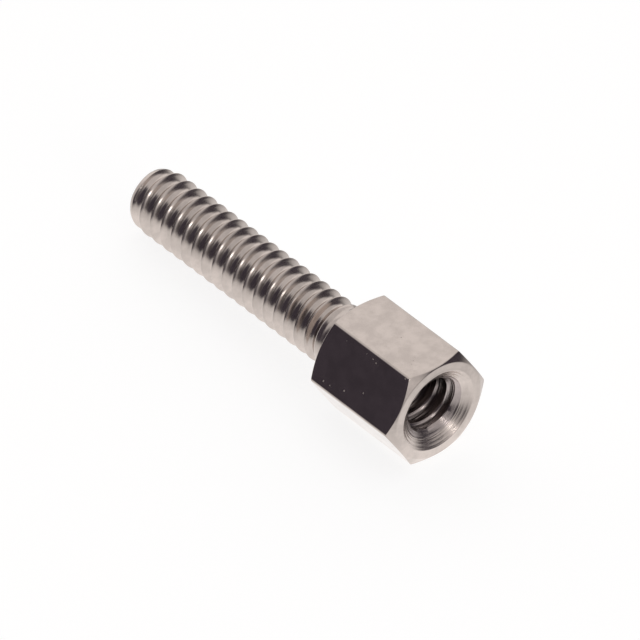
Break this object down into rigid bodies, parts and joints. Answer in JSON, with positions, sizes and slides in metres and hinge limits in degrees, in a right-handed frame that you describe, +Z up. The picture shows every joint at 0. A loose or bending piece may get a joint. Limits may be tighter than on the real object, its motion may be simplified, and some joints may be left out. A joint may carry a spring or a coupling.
{
  "type": "d-sub screw lock",
  "caption": "Hexagonal screw lock: a hex standoff head with a countersunk tapped hole, on a long threaded shank, turned as one piece.",
  "frame": {"origin": "middle of the underside of the part as it lies at rest, on the rear edge of one flat of the head and on the end of the shank", "axes": "+X along the part towards the head's tapped face, +Z up; the thread axis lies in the XZ plane and rises 4.009 degrees towards +X"},
  "size_m": [0.0178, 0.0052, 0.0048],
  "materials": {
    "nickel_plate": "bright nickel plate over a turned surface"
  },
  "bodies": {
    "root": {"screw_lock": "nickel_plate"}
  },
  "joints": []
}
